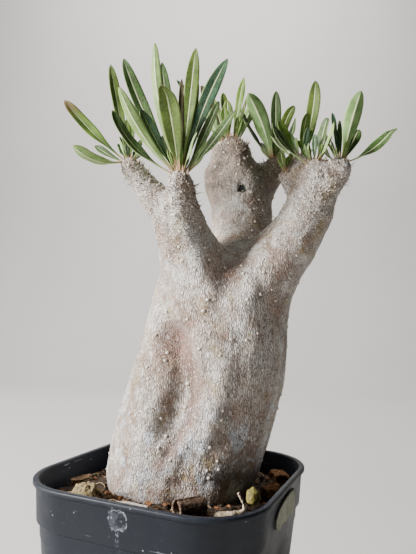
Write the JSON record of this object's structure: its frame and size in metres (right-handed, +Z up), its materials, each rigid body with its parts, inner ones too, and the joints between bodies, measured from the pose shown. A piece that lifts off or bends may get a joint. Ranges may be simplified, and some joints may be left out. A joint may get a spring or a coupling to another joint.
{
  "type": "potted pachypodium",
  "caption": "Young pachypodium with a swollen, forked silver trunk and rosettes of narrow leaves, in a square black nursery pot.",
  "frame": {"origin": "middle of the pot's flat underside", "axes": "+Z up, along the trunk's height; +X to the pot's labelled wall; -Y to the pot wall that the plant's low front head leans over"},
  "size_m": [0.1256, 0.0985, 0.2613],
  "materials": {
    "pot_plastic": "moulded blue-black plastic, dusty, with a few scratches and a dried water mark",
    "soil_mix": "dark potting mix of bark, grit and fibre",
    "bark": "silver-grey living bark, finely wrinkled, pinkish in the hollows, with small pale knobs",
    "leaf": "leathery leaf, dark green above with a pale midrib, pale green beneath",
    "pumice": "porous tan pumice",
    "bark_brown": "rough brown bark",
    "dry_fibre": "dry pale plant fibre",
    "bud_skin": "dull yellow-green skin",
    "label_paper": "weathered, torn blank label"
  },
  "bodies": {
    "root": {"bark_chip_01": "bark_brown", "bark_chip_02": "bark_brown", "bark_chip_03": "bark_brown", "caudex": "bark", "curled_bark": "bark_brown", "dry_leaf_bit": "bark_brown", "dry_stalk": "dry_fibre", "leaf_far_left_01": "leaf", "leaf_far_left_02": "leaf", "leaf_far_left_03": "leaf", "leaf_far_left_04": "leaf", "leaf_far_left_05": "leaf", "leaf_far_left_06": "leaf", "leaf_front_01": "leaf", "leaf_front_02": "leaf", "leaf_front_03": "leaf", "leaf_front_04": "leaf", "leaf_front_05": "leaf", "leaf_front_06": "leaf", "leaf_front_07": "leaf", "leaf_front_08": "leaf", "leaf_front_09": "leaf", "leaf_front_10": "leaf", "leaf_front_11": "leaf", "leaf_front_12": "leaf", "leaf_front_13": "leaf", "leaf_rear_left_01": "leaf", "leaf_rear_left_02": "leaf", "leaf_rear_left_03": "leaf", "leaf_rear_left_04": "leaf", "leaf_rear_left_05": "leaf", "leaf_rear_left_06": "leaf", "leaf_rear_left_07": "leaf", "leaf_rear_left_08": "leaf", "leaf_rear_left_09": "leaf", "leaf_rear_left_10": "leaf", "leaf_rear_right_01": "leaf", "leaf_rear_right_02": "leaf", "leaf_rear_right_03": "leaf", "leaf_rear_right_04": "leaf", "leaf_rear_right_05": "leaf", "leaf_rear_right_06": "leaf", "leaf_right_01": "leaf", "leaf_right_02": "leaf", "leaf_right_03": "leaf", "leaf_right_back_01": "leaf", "leaf_right_back_02": "leaf", "leaf_right_back_03": "leaf", "leaf_right_back_04": "leaf", "leaf_right_middle_01": "leaf", "leaf_right_middle_02": "leaf", "leaf_right_middle_03": "leaf", "leaf_right_small_01": "leaf", "pale_bud": "bud_skin", "pot": "pot_plastic", "pumice_stone": "pumice", "soil": "soil_mix", "tape_scrap": "label_paper", "twig": "dry_fibre"}
  },
  "joints": []
}
